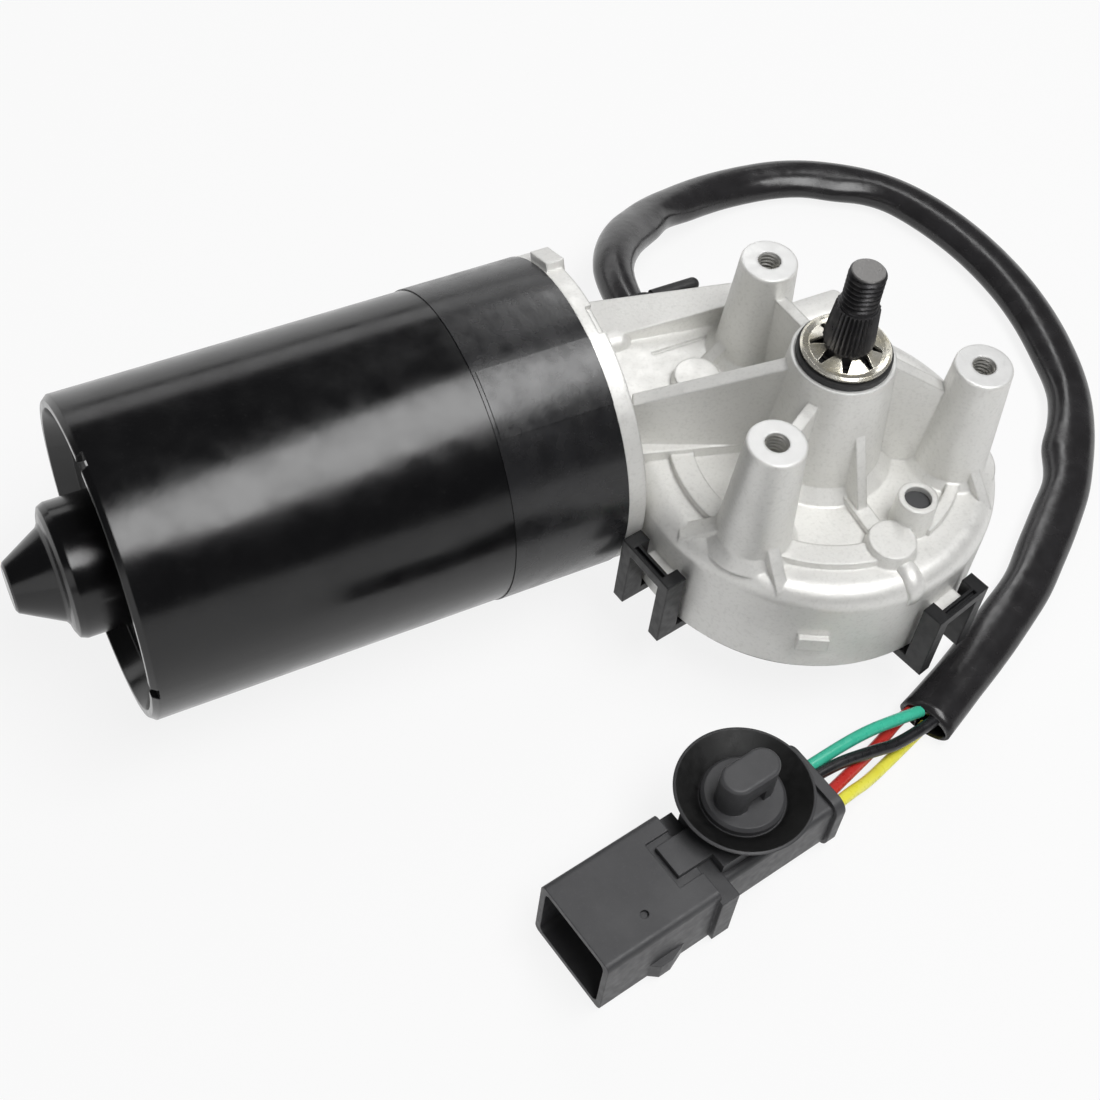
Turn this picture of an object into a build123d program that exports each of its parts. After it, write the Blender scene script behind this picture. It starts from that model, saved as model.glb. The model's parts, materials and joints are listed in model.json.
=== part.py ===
from build123d import *
import math
import os

# Wiper motor, in millimetres, +Z up along the output shaft. The origin is on the output
# shaft's axis, where its M8 thread starts. Heights named H_ are counted from the worm axis.

# Motor can
CAN_R = 36.0
CAN_WALL = 2.0
CAN_LENGTH = 107.8
CAN_STAND = 5.4
RECESS = 4.7
BOSS_R = 15.0
BOSS_OUT = 8.5
CONE_OUT = 10.0
CONE_R = 10.4
TIP_R = 4.9
BAND_WIDTH = 27.0
BAND_THICK = 0.25
BAND_GAP = 0.02

# Field magnets
MAGNET_THICK = 7.0
AIR_GAP = 0.8

# Gear housing
HOUSE_R = 41.6
HOUSE_WALL = 4.3
H_HOUSE_LOW = -19.4
H_TOP = 6.1
ROOF = 3.1
SHOULDER_R = 4.65
TRAY_RISE = 2.8
FLANGE_THICK = 4.3
SPIGOT_LENGTH = 8.2
TUNNEL_END = 10.0
TUNNEL_BORE = 7.1
WORM_BOSS_R = 7.3
TOWER_R = 11.35
TOWER_FOOT_R = 14.5
H_TOWER = 36.95

# Mounting posts, M6
POST_INSET = 11.6
POST_ANGLES = [211.5, 91.5, -28.5]
POST_R = 6.4
POST_FOOT_R = 8.6
H_POST = 37.15
POST_HOLE_R = 2.6
POST_HOLE_DEPTH = 18.0
VENT = (8.5, -25.9)

# Output shaft, M8
THREAD_R = 4.0
THREAD_LENGTH = 9.6
JOURNAL_R = 5.75
NECK_R = 4.95
KNURL_TEETH = 30
KNURL_LOW_R = 5.65
KNURL_HIGH_R = 4.7
KNURL_RISE = 4.75
KNURL_LENGTH = 10.6
SHAFT_FOOT_R = 5.0
BUSH_R = 9.0
SEAL_R = 10.35
SEAL_DEPTH = 1.2
SEAL_OUT = 1.5
RUN_GAP = 0.04

# Worm drive
GEAR_TEETH = 50
GEAR_INSET = 6.05
WORM_R = 5.25
GEAR_WIDTH = 8.0
GEAR_GAP = 1.3
HUB_R = 20.0
DISC_THICK = 0.8
WORM_TURNS = 4
WORM_SEAT_R = 2.8

# Armature
SHAFT_R = 4.0
SHAFT_FRONT = 19.5
END_BUSH_R = 5.6
FRONT_BUSH_R = 7.0
CORE_BACK = 39.0
CORE_LENGTH = 48.0
COMM_BACK = 12.5
COMM_LENGTH = 13.5
BRUSH_ROOM = 21.0
SLOTS = 12

# Gear cover
H_FLOOR = -(CAN_R + BAND_THICK)
SEAL_THICK = 0.8
COVER_THICK = 2.5
PAN_R = 28.0
CLIPS = [(190.2, -2.6), (285.6, -2.6), (20.0, -8.1)]
CLIP_HALF = 8.0
CLIP_LEG = 3.2
CLIP_BAR = 2.8

# Harness
SLEEVE_R = 5.0
WIRE_R = 1.4
TAIL_R = 1.7
TAIL_LENGTH = 11.3
H_LIE = H_FLOOR + SLEEVE_R
ROUTE = [
    (-14.0, 48.9, -4.3),
    (-14.0, 70.0, -4.3),
    (-3.0, 88.8, -10.5),
    (17.8, 105.3, -22.1),
    (45.4, 116.4, H_LIE),
    (72.4, 112.5, H_LIE),
    (93.4, 96.0, H_LIE),
    (102.7, 69.4, H_LIE),
    (103.1, 39.0, H_LIE),
    (93.0, 9.1, H_LIE),
    (71.4, -15.8, H_LIE),
    (43.4, -35.4, H_LIE),
    (24.1, -45.9, H_LIE),
    (4.8, -54.6, H_LIE),
]

# Connector, in its own frame: X from the open front to the wires, Y across, Z up from the floor
CONN_AT = (-94.9, -73.0)
CONN_YAW = 9.95
BOX_LENGTH = 28.9
BOX_WIDTH = 22.4
BOX_HEIGHT = 19.3
BOX_WALL = 1.5
REAR_END = 62.5
COLLAR_END = 65.0
CAVITY_DEPTH = 18.0
DISC_R = 15.0
DISC_AT = 45.6
DISC_SIDE = 3.2
WIRE_ROW_Z = 10.5

# Sizes that follow from those above
CAN_IN_R = CAN_R - CAN_WALL
CAN_FRONT = -(HOUSE_R + CAN_STAND)
CAN_REAR = CAN_FRONT - CAN_LENGTH
CORE_R = CAN_IN_R - MAGNET_THICK - AIR_GAP
CORE_FRONT = CAN_FRONT - CORE_BACK
CORE_REAR = CORE_FRONT - CORE_LENGTH
COMM_R = CAN_IN_R - BRUSH_ROOM
COMM_FRONT = CAN_FRONT - COMM_BACK
COMM_REAR = COMM_FRONT - COMM_LENGTH
BOSS_END = CAN_REAR - BOSS_OUT
CONE_END = BOSS_END - CONE_OUT
SHAFT_REAR = CONE_END + 5.8
HOUSE_IN_R = HOUSE_R - HOUSE_WALL
PITCH_R = HOUSE_IN_R - GEAR_INSET
MODULE = 2 * PITCH_R / GEAR_TEETH
TOOTH = 1.28 * MODULE
AXIS_Y = PITCH_R + WORM_R
WORM_BOSS_END = math.sqrt(HOUSE_R**2 - (AXIS_Y - WORM_BOSS_R) ** 2) + 0.5
POST_CIRCLE_R = HOUSE_R - POST_INSET
COVER_R = HOUSE_R - 2.2
H_CEILING = H_TOP - ROOF
H_TRAY = H_TOP + TRAY_RISE
H_KNURL = H_TOWER + KNURL_RISE
H_THREAD = H_KNURL + KNURL_LENGTH
AXIS_Z = -H_THREAD
H_GEAR_TOP = H_CEILING - GEAR_GAP
H_GEAR_LOW = H_GEAR_TOP - GEAR_WIDTH
H_DISC = H_GEAR_LOW - DISC_THICK
H_LOW_BUSH = H_CEILING - 0.25
H_WASHER = H_TOWER + SEAL_OUT + 0.05
H_PLATE = H_HOUSE_LOW - SEAL_THICK
H_UNDER = H_PLATE - COVER_THICK
H_CARRY = H_PLATE + 2.0

BASE = (Align.CENTER, Align.CENTER, Align.MIN)
TO_X = Plane(origin=(0, AXIS_Y, AXIS_Z), x_dir=(0, 1, 0), z_dir=(1, 0, 0)).location
nodes = {}


def upright(x, y, h0, h1, r0, r1=None):
    """Upright cylinder or cone between two heights above the worm axis."""
    body = Cylinder(r0, h1 - h0, align=BASE) if r1 is None else Cone(r0, r1, h1 - h0, align=BASE)
    return Pos(x, y, AXIS_Z + h0) * body


def along(x0, x1, r0, r1=None):
    """Cylinder or cone about the worm axis."""
    body = Cylinder(r0, x1 - x0, align=BASE) if r1 is None else Cone(r0, r1, x1 - x0, align=BASE)
    return TO_X * Pos(0, 0, x0) * body


def sleeve_x(x0, x1, r_in, r_out):
    return along(x0, x1, r_out) - along(x0, x1, r_in)


def ring(h0, h1, r_in, r_out):
    return upright(0, 0, h0, h1, r_out) - upright(0, 0, h0, h1, r_in)


def block(x0, x1, y0, y1, h0, h1):
    body = Box(x1 - x0, y1 - y0, h1 - h0, align=(Align.MIN, Align.MIN, Align.MIN))
    return Pos(x0, y0, AXIS_Z + h0) * body


def turned(points):
    """Solid of revolution about Z from (radius, height) points."""
    return revolve(Plane.XZ * Polygon(*points, align=None), Axis.Z)


def web(p, q, width, base, top_p, top_q):
    """Upright rib between two plan points, with a sloping top edge."""
    run = math.dist(p, q)
    turn = math.degrees(math.atan2(q[1] - p[1], q[0] - p[0]))
    side = Plane.XZ * Polygon((0, base), (run, base), (run, top_q), (0, top_p), align=None)
    return Pos(p[0], p[1], AXIS_Z) * Rot(0, 0, turn) * extrude(side, width / 2, both=True)


def sector(h0, h1, r_in, r_out, a0, a1):
    """Part of a ring about the output axis between two angles."""
    face = Plane.XZ * Polygon((r_in, h0), (r_out, h0), (r_out, h1), (r_in, h1), align=None)
    return Pos(0, 0, AXIS_Z) * Rot(0, 0, a0) * revolve(face, Axis.Z, a1 - a0)


def polar(r, degrees):
    return (r * math.cos(math.radians(degrees)), r * math.sin(math.radians(degrees)))


def cord(points, radius, label):
    """Round cord along straight runs joined by tangent arcs."""
    spots = [Vector(*p) for p in points]
    radii = []
    for a, b, c in zip(spots, spots[1:], spots[2:]):
        turn = (b - a).get_angle(c - b)
        short = min((b - a).length, (c - b).length)
        radii.append(0.45 * short / math.tan(math.radians(turn) / 2))
    print(label, "radii", [round(r, 1) for r in radii])
    line = FilletPolyline(*spots, radius=radii)
    start = Plane(origin=line @ 0, z_dir=line % 0)
    return sweep(start * Circle(radius), path=line)


POSTS = [polar(POST_CIRCLE_R, a) for a in POST_ANGLES]

# Motor can: deep-drawn shell with a recessed end, a bearing boss and a cone
end = CAN_REAR + RECESS
can_outline = [
    (CAN_R, CAN_FRONT),
    (CAN_R, CAN_REAR + 1.2),
    (CAN_R - 1.0, CAN_REAR),
    (CAN_R - 2.6, CAN_REAR),
    (CAN_R - 4.0, end),
    (BOSS_R + 1.0, end),
    (BOSS_R, end - 1.0),
    (BOSS_R, BOSS_END + 2.0),
    (BOSS_R - 0.6, BOSS_END + 0.6),
    (BOSS_R - 2.0, BOSS_END),
    (CONE_R + 0.9, BOSS_END - 0.4),
    (CONE_R, BOSS_END - 1.0),
    (TIP_R + 0.7, CONE_END + 0.4),
    (TIP_R, CONE_END),
    (0, CONE_END),
    (0, CONE_END + 2.0),
    (SHAFT_R + 0.3, CONE_END + 2.0),
    (SHAFT_R + 0.3, BOSS_END + 2.0),
    (BOSS_R - 4.0, BOSS_END + 2.0),
    (BOSS_R - 4.0, end + CAN_WALL),
    (CAN_IN_R, end + CAN_WALL),
    (CAN_IN_R, CAN_FRONT),
]
can = TO_X * turned(can_outline)
for angle in (94, 182, 300):
    spot = TO_X * Rot(0, 0, angle) * Pos(CAN_R - 1.5, 0, CAN_REAR)
    can -= spot * Box(6, 3.4, 3.0)
nodes["motor_can"] = can

band_rear = CAN_FRONT - BAND_WIDTH
band = sleeve_x(band_rear, CAN_FRONT, CAN_R + BAND_GAP, CAN_R + BAND_THICK)
lap_outline = [
    (CAN_R + BAND_THICK, band_rear + 0.8),
    (CAN_R + 2 * BAND_THICK, band_rear + 0.8),
    (CAN_R + 2 * BAND_THICK, CAN_FRONT),
    (CAN_R + BAND_THICK, CAN_FRONT),
]
lap_face = Plane.XZ * Polygon(*lap_outline, align=None)
nodes["can_wrap_band"] = band + TO_X * Rot(0, 0, 106) * revolve(lap_face, Axis.Z, 24)

# Field magnets and the spring clips that hold them apart
magnet_in = CAN_IN_R - MAGNET_THICK
magnet_rear = CORE_REAR - 2.0
magnet_front = CORE_FRONT + 2.0


def shell_part(r_in, x0, x1, a0, a1):
    """Part of a shell inside the can, between two angles."""
    face = Plane.XZ * Polygon((r_in, x0), (CAN_IN_R, x0), (CAN_IN_R, x1), (r_in, x1), align=None)
    return TO_X * Rot(0, 0, a0) * revolve(face, Axis.Z, a1 - a0)


magnets = [shell_part(magnet_in, magnet_rear, magnet_front, a, a + 130) for a in (-65, 115)]
nodes["field_magnets"] = Compound(children=magnets)
spring_clips = []
for a in (65, 245):
    spring_clip = shell_part(CAN_IN_R - 1.2, magnet_rear + 10, magnet_front - 10, a, a + 50)
    spring_clip += shell_part(magnet_in + 1.5, magnet_rear + 10, magnet_front - 10, a, a + 2.2)
    spring_clip += shell_part(magnet_in + 1.5, magnet_rear + 10, magnet_front - 10, a + 47.8, a + 50)
    spring_clips.append(spring_clip)
nodes["magnet_clips"] = Compound(children=spring_clips)

# Rear bearing of the armature
bush_rear = BOSS_END + 2.0
nodes["rear_bush"] = sleeve_x(bush_rear, bush_rear + 10, SHAFT_R + RUN_GAP, BOSS_R - 4.0)
nodes["rear_thrust_button"] = along(CONE_END + 2.0, SHAFT_REAR - RUN_GAP, SHAFT_R + 0.3)

# Armature: stepped shaft with the worm pressed on its front end
lead = math.pi * MODULE
addendum = 0.88 * MODULE
tip_r = WORM_R + addendum
root_r = WORM_R - 1.1 * MODULE
slope = math.tan(math.radians(20))
half_tip = TOOTH / 2 - (tip_r - WORM_R) * slope
half_core = TOOTH / 2 + (WORM_R - root_r) * slope
flank = []
for i in range(7):
    share = i / 6
    reach = half_tip + (half_core - half_tip) * share
    flank.append(polar(tip_r + (root_r - tip_r) * share, 360 * reach / lead))
mirrored = [(x, -y) for x, y in flank]
worm_section = make_face(
    [
        ThreePointArc(mirrored[0], (tip_r, 0), flank[0]),
        Spline(*flank),
        ThreePointArc(flank[-1], (-root_r, 0), mirrored[-1]),
        Spline(*reversed(mirrored)),
    ]
).face()
worm_length = lead * WORM_TURNS
worm = Solid.extrude_linear_with_rotation(worm_section, (0, 0, 0), (0, 0, worm_length), 360 * WORM_TURNS)
worm_rear = -worm_length / 2
nodes["worm"] = TO_X * Pos(0, 0, worm_rear) * worm - along(worm_rear - 1, 1 - worm_rear, WORM_SEAT_R)
armature_shaft = along(SHAFT_REAR, worm_rear, SHAFT_R) + along(worm_rear, SHAFT_FRONT, WORM_SEAT_R)
nodes["armature_shaft"] = armature_shaft

slot_r = 0.725 * CORE_R
slot_half = 0.1525 * CORE_R
lamination = Circle(CORE_R) - Circle(SHAFT_R)
windings = []
for i in range(SLOTS):
    turn = 360 / SLOTS * i
    lamination -= Rot(0, 0, turn) * Pos(slot_r, 0) * Circle(slot_half)
    lamination -= Rot(0, 0, turn) * Pos(CORE_R - 2.2, 0) * Rectangle(8, 2.2)
    side = Pos(slot_r, 0, CORE_REAR) * Cylinder(slot_half, CORE_LENGTH, align=BASE)
    windings.append(Rot(0, 0, turn) * side)
core = extrude(lamination, CORE_LENGTH)
nodes["armature_core"] = TO_X * Pos(0, 0, CORE_REAR) * core
end_turn = turned(
    [
        (0.34 * CORE_R, 0),
        (0.91 * CORE_R, 0),
        (0.92 * CORE_R, 1.5),
        (0.84 * CORE_R, 7),
        (0.73 * CORE_R, 9),
        (0.46 * CORE_R, 9),
        (0.34 * CORE_R, 7),
    ]
)
copper = Pos(0, 0, CORE_FRONT) * end_turn + windings
copper += Pos(0, 0, CORE_REAR) * Rot(180, 0, 0) * end_turn
nodes["armature_windings"] = TO_X * copper

commutator = sleeve_x(COMM_REAR, COMM_FRONT, SHAFT_R, COMM_R)
hook = sleeve_x(COMM_REAR - 3, COMM_REAR, SHAFT_R, COMM_R + 1.5)
commutator += hook
for i in range(SLOTS):
    groove = Rot(0, 0, 360 / SLOTS * i) * Pos(COMM_R + 1, 0, COMM_REAR - 4) * Box(4, 0.7, 20, align=BASE)
    commutator -= TO_X * groove
nodes["commutator"] = commutator

# Brush gear
plate_rear = CAN_FRONT - SPIGOT_LENGTH - 3.0
plate = sleeve_x(plate_rear, plate_rear + 3.0, COMM_R + 3.0, CAN_IN_R - 0.3)
boxes, brushes, springs, cores, coils = [], [], [], [], []
brush_x = plate_rear - 4.5
for angle in (90, 210, 330):
    spot = TO_X * Rot(0, 0, angle)
    shell = Pos(COMM_R + 9, 0, brush_x) * (Box(14, 8, 9) - Box(14, 6.4, 7.4))
    shell += Pos(COMM_R + 15.4, 0, brush_x) * Box(1.2, 8, 9)
    boxes.append(spot * shell)
    brush = Pos(COMM_R + 4.8, 0, brush_x) * Box(10, 6.4, 7.4)
    brush -= Pos(0, 0, brush_x) * Cylinder(COMM_R + 0.05, 20)
    brushes.append(spot * brush)
    coil_line = Helix(pitch=1.05, height=4.2, radius=2.2)
    coil_start = Plane(origin=coil_line @ 0, z_dir=coil_line % 0)
    coil = sweep(coil_start * Circle(0.35), path=coil_line, is_frenet=True)
    springs.append(spot * Pos(COMM_R + 10.2, 0, brush_x) * Rot(0, 90, 0) * coil)
for angle in (30, 150):
    spot = TO_X * Rot(0, 0, angle) * Pos(COMM_R + 12, 0, plate_rear - 4.0) * Rot(90, 0, 0)
    cores.append(spot * Cylinder(2.2, 18))
    coils.append(spot * (Cylinder(4.0, 13) - Cylinder(2.2, 13)))
nodes["brush_plate"] = plate
nodes["brush_boxes"] = Compound(children=boxes)
nodes["carbon_brushes"] = Compound(children=brushes)
nodes["brush_springs"] = Compound(children=springs)
nodes["choke_cores"] = Compound(children=cores)
nodes["choke_coils"] = Compound(children=coils)

# Bearings at the worm end
flange_end = CAN_FRONT + FLANGE_THICK
front_bush_end = flange_end + 6.0
nodes["front_bush"] = sleeve_x(CAN_FRONT, front_bush_end, SHAFT_R + RUN_GAP, FRONT_BUSH_R)
bore_end = TUNNEL_END - 0.5
nodes["worm_end_bush"] = sleeve_x(bore_end, SHAFT_FRONT, WORM_SEAT_R + RUN_GAP, END_BUSH_R)
ball_r = 3.0
ball_x = SHAFT_FRONT + RUN_GAP + ball_r
nodes["thrust_ball"] = TO_X * Pos(0, 0, ball_x) * Sphere(ball_r)
screw = along(ball_x + ball_r, WORM_BOSS_END + 5.5, SHAFT_R)
nodes["thrust_screw"] = screw - block(WORM_BOSS_END + 4, WORM_BOSS_END + 6, AXIS_Y - 8, AXIS_Y + 8, -0.5, 0.5)
nut = TO_X * Pos(0, 0, WORM_BOSS_END) * extrude(RegularPolygon(6.2, 6), 3.2)
nodes["thrust_nut"] = nut - along(WORM_BOSS_END, WORM_BOSS_END + 4, SHAFT_R)

# Gear housing: chamber, flange, tray over the worm and tower in one casting
chamber = upright(0, 0, H_HOUSE_LOW, H_TOP, HOUSE_R)
chamber = fillet(chamber.edges().filter_by(GeomType.CIRCLE).sort_by(Axis.Z)[-1], SHOULDER_R)
flange = along(CAN_FRONT, flange_end, CAN_R)
for angle in (100, 225):
    spot = TO_X * Rot(0, 0, angle) * Pos(CAN_R, 0, flange_end)
    flange -= spot * Box(2.6, 7, 3)
spigot = sleeve_x(CAN_FRONT - SPIGOT_LENGTH, CAN_FRONT, CAN_IN_R - 4.0, CAN_IN_R)
ear = TO_X * Rot(0, 0, 66) * Pos(CAN_R, 0, CAN_FRONT + 0.6) * Box(3.6, 8, FLANGE_THICK, align=BASE)
worm_boss = along(TUNNEL_END - 1, WORM_BOSS_END, WORM_BOSS_R)
tray_plan = [(flange_end, 12.7), (-10.4, 3.7), (11.6, 13.8), (13.4, 46.0), (flange_end, 57.0)]
tray = extrude(Polygon(*tray_plan, align=None), H_TRAY + 14)
tray = Pos(0, 0, AXIS_Z - 14) * tray
tray &= along(CAN_FRONT, 40, CAN_R)
strut_plan = [(flange_end, 45.3), (8, 37.4), (8, 42.4), (flange_end, 59.6)]
strut = Pos(0, 0, AXIS_Z) * extrude(Polygon(*strut_plan, align=None), 20)
strut &= web((flange_end, 48), (8, 48), 40, H_TRAY - 2, 9.3, 16.5)
bump = TO_X * Pos(7.0, 8.4, flange_end - 1) * Cylinder(3.2, 15.5, align=BASE)
bump += TO_X * Pos(7.0, 8.4, flange_end + 14.5) * Sphere(3.2)
tower = upright(0, 0, H_CEILING, H_TOWER, TOWER_FOOT_R, TOWER_R)
tower_foot = upright(0, 0, H_TOP - 1, H_TOP + 3, TOWER_FOOT_R + 3.5, TOWER_FOOT_R - 0.5)
arm = polar(43.0, 156.7)
house_bits = [flange, spigot, ear, worm_boss, tray, strut, bump, tower, tower_foot]
for x, y in POSTS:
    foot = H_TRAY if y > 0 else H_TOP
    post = upright(x, y, H_CEILING, H_POST, POST_FOOT_R, POST_R)
    post = fillet(post.edges().filter_by(GeomType.CIRCLE).sort_by(Axis.Z)[-1], 0.5)
    house_bits.append(post)
    house_bits.append(upright(x, y, foot - 1, foot + 2.2, POST_FOOT_R + 2.4, POST_FOOT_R - 0.6))
p1, p2, p3 = POSTS
house_bits += [
    web((0, 0), p1, 2.6, H_TOP - 2, 31.8, 31.8),
    web((0, 0), p2, 2.8, H_TOP - 2, 35.2, 30.5),
    web((0, 0), p3, 3.0, H_TOP - 2, 41.8, 26.2),
    web((0, 0), arm, 3.4, H_CEILING, 38.6, 21.6),
    web(p1, (-26.2, -30.6), 2.8, H_CEILING, 19.0, 4.6),
    web(p1, (-39.2, -7.9), 4.0, H_CEILING, 13.2, 5.2),
    web(p3, (27.5, -29.3), 2.6, H_CEILING, 17.5, 4.4),
    web(p2, (-13.1, 29.7), 3.0, H_TOP - 2, 21.5, 9.4),
    web((-0.2, -10.0), (-0.3, -20.6), 2.4, H_TOP - 2, 29.5, H_TOP),
    web((-0.5, -14.5), (-0.2, -29.8), 4.0, H_TOP - 2, H_TOP + 1.5, H_TOP + 1.5),
    web((-0.2, -29.8), (0.9, -40.5), 4.0, H_CEILING - 1, H_TOP + 1.5, 4.7),
    sector(H_TOP - 2, H_TOP + 1.6, 28.3, 33.6, 153.6, 268.3),
    sector(H_TOP - 2, H_TOP + 1.6, 29.8, 32.6, 288, 322),
    upright(0.4, -30.5, H_TOP - 2, H_TOP + 3.2, 6.2, 5.3),
    upright(*VENT, H_TOP - 2, H_TOP + 8.3, 4.9, 4.4),
    upright(-17.4, 25.2, H_TRAY - 1, H_TRAY + 2.8, 6.0, 5.3),
]
lug = Rot(0, 0, -118.1) * Pos(HOUSE_R, 0, AXIS_Z - 9.3) * Box(3, 7, 4)
house_bits.append(lug)
for angle, high in CLIPS:
    catch_outline = [
        (HOUSE_R - 1.6, -CLIP_BAR - 0.2),
        (HOUSE_R + 4.4, -CLIP_BAR - 0.2),
        (HOUSE_R + 4.8, -CLIP_BAR - 1.4),
        (HOUSE_R - 0.1, -9.5),
        (HOUSE_R - 1.6, -9.5),
    ]
    catch = extrude(Plane.XZ * Polygon(*catch_outline, align=None), 3.6, both=True)
    house_bits.append(Rot(0, 0, angle) * Pos(0, 0, AXIS_Z + high) * catch)
cable_at = TO_X * Pos(0, ROUTE[0][2], ROUTE[0][0]) * Rot(0, 90, 0)
house_bits.append(cable_at * Pos(0, 0, 9) * Cylinder(9.0, 8, align=BASE))
housing = chamber + house_bits
housing -= upright(0, 0, H_HOUSE_LOW - 5, H_CEILING, HOUSE_IN_R)
housing -= along(front_bush_end, bore_end, TUNNEL_BORE)
housing -= along(CAN_FRONT, front_bush_end, FRONT_BUSH_R)
housing -= along(bore_end, SHAFT_FRONT, END_BUSH_R)
housing -= along(SHAFT_FRONT, WORM_BOSS_END + 1, SHAFT_R)
housing -= upright(0, 0, 0, H_TOWER - SEAL_DEPTH, BUSH_R)
housing -= upright(0, 0, H_TOWER - SEAL_DEPTH, H_TOWER + 12, SEAL_R)
housing -= cable_at * Pos(0, 0, 11) * Cylinder(7.0, 12, align=BASE)
housing -= upright(*VENT, H_TOP - 10, H_TOP + 9, 3.0)
housing -= block(-22.4, -8.0, AXIS_Y + 0.1, AXIS_Y + 0.9, H_TRAY - 0.5, H_TRAY + 1)
for x, y in POSTS:
    housing -= upright(x, y, H_POST - POST_HOLE_DEPTH, H_POST, POST_HOLE_R)
nodes["gear_housing"] = housing

# Output shaft bearings and seals
nodes["lower_shaft_bush"] = ring(H_LOW_BUSH, 15.0, JOURNAL_R + RUN_GAP, BUSH_R)
nodes["upper_shaft_bush"] = ring(23.0, H_TOWER - SEAL_DEPTH, JOURNAL_R + RUN_GAP, BUSH_R)
nodes["shaft_seal"] = ring(H_TOWER - SEAL_DEPTH, H_TOWER + SEAL_OUT, JOURNAL_R + 0.08, SEAL_R)
nodes["gear_thrust_washer"] = ring(H_GEAR_TOP + 0.05, H_LOW_BUSH, JOURNAL_R + 0.08, 11.0)
nodes["vent_plug"] = upright(*VENT, H_TOP - 2.0, H_TOP + 6.8, 3.0)

# Output shaft: foot for the gear, journal, washer neck, straight knurl and thread
def star(r_out, r_in, height):
    spots = [polar(r_out if i % 2 == 0 else r_in, 180 / KNURL_TEETH * i) for i in range(2 * KNURL_TEETH)]
    return Pos(0, 0, height) * Polygon(*spots, align=None)


knurl_low = star(KNURL_LOW_R, KNURL_LOW_R - 0.45, H_KNURL)
knurl_high = star(KNURL_HIGH_R, KNURL_HIGH_R - 0.4, H_THREAD)
knurl = loft([knurl_low, knurl_high], ruled=True)
stem = upright(0, 0, H_GEAR_LOW - 2.0, H_GEAR_TOP, SHAFT_FOOT_R)
stem += upright(0, 0, H_GEAR_TOP, H_WASHER + 0.4, JOURNAL_R)
stem += upright(0, 0, H_WASHER + 0.4, H_KNURL, NECK_R)
stem += Pos(0, 0, AXIS_Z) * knurl
tip = upright(0, 0, H_THREAD - 1, H_THREAD + THREAD_LENGTH, THREAD_R)
stem += chamfer(tip.edges().sort_by(Axis.Z)[-1], 0.7)
nodes["output_shaft"] = stem

# Worm wheel, its steel hub and the park switch ring below it
base_r = PITCH_R * math.cos(math.radians(20))
wheel_tip = PITCH_R + addendum
wheel_root = PITCH_R - 1.2 * MODULE


def half_angle(r):
    """Half a tooth's angle at a radius, in degrees, from its involute."""
    a = math.acos(base_r / r)
    a0 = math.radians(20)
    return math.degrees(TOOTH / (2 * PITCH_R) + (math.tan(a0) - a0) - (math.tan(a) - a))


def wheel_outline(turn):
    spots = []
    for i in range(GEAR_TEETH):
        at = 90 + turn + 360 / GEAR_TEETH * i
        for r, side in ((wheel_root, -1), (wheel_tip, -1), (wheel_tip, 1), (wheel_root, 1)):
            spots.append(polar(r, at + side * half_angle(r)))
    return Polygon(*spots, align=None)


def helix_turn(height):
    """Turn of a wheel tooth at a height above the worm axis, in degrees."""
    return math.degrees(height * lead / (2 * math.pi * WORM_R) / PITCH_R)


wheel_ends = [Pos(0, 0, h) * wheel_outline(helix_turn(h)) for h in (H_GEAR_LOW, H_GEAR_TOP)]
wheel = Pos(0, 0, AXIS_Z) * loft(wheel_ends, ruled=True)
wheel -= upright(0, 0, H_GEAR_LOW - 1, H_GEAR_TOP + 1, HUB_R)
nodes["worm_wheel"] = wheel
nodes["gear_hub"] = ring(H_GEAR_LOW, H_GEAR_TOP, SHAFT_FOOT_R, HUB_R)
nodes["park_disc"] = sector(H_DISC, H_GEAR_LOW, HUB_R / 2, HUB_R - 1.5, 40, 330)

# Star washer on the neck above the seal
dish = Pos(0, 0, AXIS_Z) * turned(
    [
        (9.0, H_WASHER),
        (9.7, H_WASHER + 0.3),
        (9.8, H_WASHER + 0.9),
        (9.3, H_WASHER + 1.3),
        (8.5, H_WASHER + 1.1),
        (7.9, H_WASHER + 0.9),
        (NECK_R, H_WASHER + 2.2),
        (NECK_R, H_WASHER + 1.4),
        (7.6, H_WASHER + 0.2),
        (8.4, H_WASHER),
    ]
)
for i in range(8):
    notch = Polygon((4, -1.3), (7.7, -0.5), (7.7, 0.5), (4, 1.3), align=None)
    notch = Pos(0, 0, AXIS_Z + H_WASHER - 1) * Rot(0, 0, 45 * i + 12) * extrude(notch, 5)
    dish -= notch
nodes["star_washer"] = dish

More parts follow.
